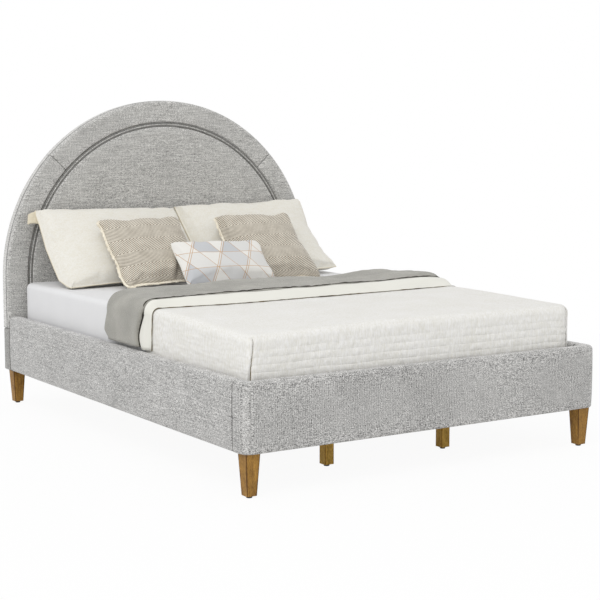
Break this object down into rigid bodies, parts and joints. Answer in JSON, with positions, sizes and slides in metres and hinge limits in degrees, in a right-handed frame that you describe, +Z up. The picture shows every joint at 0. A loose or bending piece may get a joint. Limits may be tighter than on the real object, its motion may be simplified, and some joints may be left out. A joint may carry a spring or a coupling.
{
  "type": "upholstered platform bed",
  "caption": "Upholstered platform bed with a half-round headboard, padded rails, tapered wooden legs, slat base, and a made-up mattress with quilt, blanket, pillows and cushions.",
  "frame": {"origin": "on the floor under the middle of the bed's bounding box", "axes": "+Z up, +Y towards the headboard, +X towards the right-hand rail seen from the foot end"},
  "size_m": [1.65, 2.195, 1.4098],
  "materials": {
    "frame_fabric": "matte",
    "welt_fabric": "matte",
    "plywood": "matte",
    "timber": "matte",
    "slat_wood": "matte",
    "leg_wood": "satin",
    "zinc_steel": "satin",
    "black_steel": "satin",
    "glide_plastic": "matte",
    "webbing": "matte",
    "mattress_ticking": "matte",
    "white_sheet": "matte",
    "quilt_cotton": "matte",
    "cuff_cotton": "matte",
    "blanket_wool": "matte",
    "pillow_cotton": "matte",
    "cushion_weave": "matte",
    "lumbar_print": "matte"
  },
  "bodies": {
    "frame": {"beam_hangers": "black_steel", "bracket_bolts": "zinc_steel", "centre_beam_left": "timber", "centre_beam_right": "timber", "centre_leg_foot_left": "leg_wood", "centre_leg_foot_right": "leg_wood", "centre_leg_head_left": "leg_wood", "centre_leg_head_right": "leg_wood", "centre_leg_middle_left": "leg_wood", "centre_leg_middle_right": "leg_wood", "corner_brackets": "black_steel", "footboard_board": "plywood", "footboard_cover": "frame_fabric", "footboard_posts": "timber", "frame_screws": "zinc_steel", "headboard_back_cloth": "frame_fabric", "headboard_border_pad": "frame_fabric", "headboard_edge_band": "frame_fabric", "headboard_face_board": "plywood", "headboard_frame": "timber", "headboard_joining_plates": "zinc_steel", "headboard_lower_board": "plywood", "headboard_lower_cover": "frame_fabric", "headboard_panel_pad": "frame_fabric", "headboard_welts": "welt_fabric", "leg_back_left": "leg_wood", "leg_back_right": "leg_wood", "leg_bolts": "zinc_steel", "leg_front_left": "leg_wood", "leg_front_right": "leg_wood", "leg_glides": "glide_plastic", "rail_board_left": "plywood", "rail_board_right": "plywood", "rail_cover_left": "frame_fabric", "rail_cover_right": "frame_fabric", "slat_ledge_left": "timber", "slat_ledge_right": "timber"},
    "slat_base": {"slat_01": "slat_wood", "slat_02": "slat_wood", "slat_03": "slat_wood", "slat_04": "slat_wood", "slat_05": "slat_wood", "slat_06": "slat_wood", "slat_07": "slat_wood", "slat_08": "slat_wood", "slat_09": "slat_wood", "slat_10": "slat_wood", "slat_11": "slat_wood", "slat_12": "slat_wood", "slat_straps": "webbing"},
    "made_mattress": {"mattress": "mattress_ticking", "fitted_sheet": "white_sheet", "quilt": "quilt_cotton", "top_sheet_cuff": "cuff_cotton", "blanket": "blanket_wool"},
    "cushion_left_body": {"cushion_left": "cushion_weave"},
    "cushion_right_body": {"cushion_right": "cushion_weave"},
    "lumbar_cushion_body": {"lumbar_cushion": "lumbar_print"},
    "pillow_left_body": {"pillow_left": "pillow_cotton"},
    "pillow_right_body": {"pillow_right": "pillow_cotton"}
  },
  "joints": [
    {"name": "slat_base_lift", "type": "slide", "parent": "frame", "child": "slat_base", "axis": [0, 0, 1], "range_m": [0, 0.25]},
    {"name": "mattress_lift", "type": "slide", "parent": "slat_base", "child": "made_mattress", "axis": [0, 0, 1], "range_m": [0, 0.35]},
    {"name": "pillow_left_off", "type": "slide", "parent": "made_mattress", "child": "pillow_left_body", "axis": [-1, 0, 0], "range_m": [0, 0.4]},
    {"name": "pillow_right_off", "type": "slide", "parent": "made_mattress", "child": "pillow_right_body", "axis": [1, 0, 0], "range_m": [0, 0.4]},
    {"name": "cushion_left_off", "type": "slide", "parent": "made_mattress", "child": "cushion_left_body", "axis": [-1, 0, 0], "range_m": [0, 0.35]},
    {"name": "cushion_right_off", "type": "slide", "parent": "made_mattress", "child": "cushion_right_body", "axis": [1, 0, 0], "range_m": [0, 0.35]},
    {"name": "lumbar_cushion_off", "type": "slide", "parent": "made_mattress", "child": "lumbar_cushion_body", "axis": [0, 0, 1], "range_m": [0, 0.3]}
  ]
}
